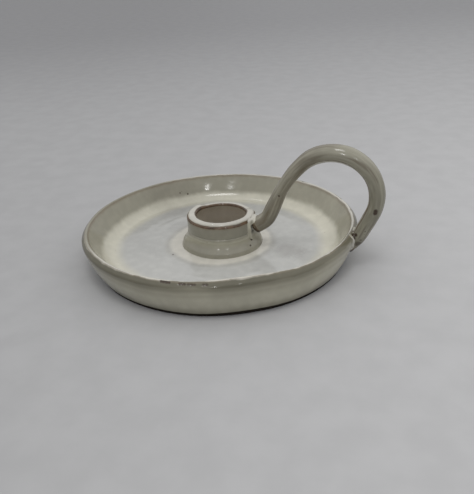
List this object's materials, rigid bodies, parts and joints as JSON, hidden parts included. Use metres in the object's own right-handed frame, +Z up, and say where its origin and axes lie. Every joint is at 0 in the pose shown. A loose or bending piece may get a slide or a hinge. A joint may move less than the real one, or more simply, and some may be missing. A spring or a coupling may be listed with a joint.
{
  "type": "chamberstick",
  "caption": "Low round chamberstick: a shallow dish with a raised candle socket at its centre and a rod loop for one finger arching from socket to rim.",
  "frame": {"origin": "on the dish's axis at the level of the table, the centre of the foot ring's flat underside", "axes": "+Z up along the candle, +X from the socket towards the finger loop"},
  "size_m": [0.1422, 0.13, 0.0568],
  "materials": {
    "dish_glaze": "thin off-white gloss glaze over grey-brown stoneware, bare clay on the foot ring",
    "socket_glaze": "gloss glaze breaking brown at the lip's edges",
    "slip_ring_glaze": "gloss glaze, pooled thick and pale at its foot",
    "loop_glaze": "thin gloss glaze, olive grey where the clay shows through",
    "socket_weld_glaze": "thick pale gloss glaze over slip",
    "rim_weld_glaze": "thin gloss glaze over slip, brown in the creases"
  },
  "bodies": {
    "root": {"dish": "dish_glaze", "candle_socket": "socket_glaze", "socket_slip_ring": "slip_ring_glaze", "finger_loop": "loop_glaze", "loop_socket_weld": "socket_weld_glaze", "loop_rim_weld": "rim_weld_glaze"}
  },
  "joints": []
}
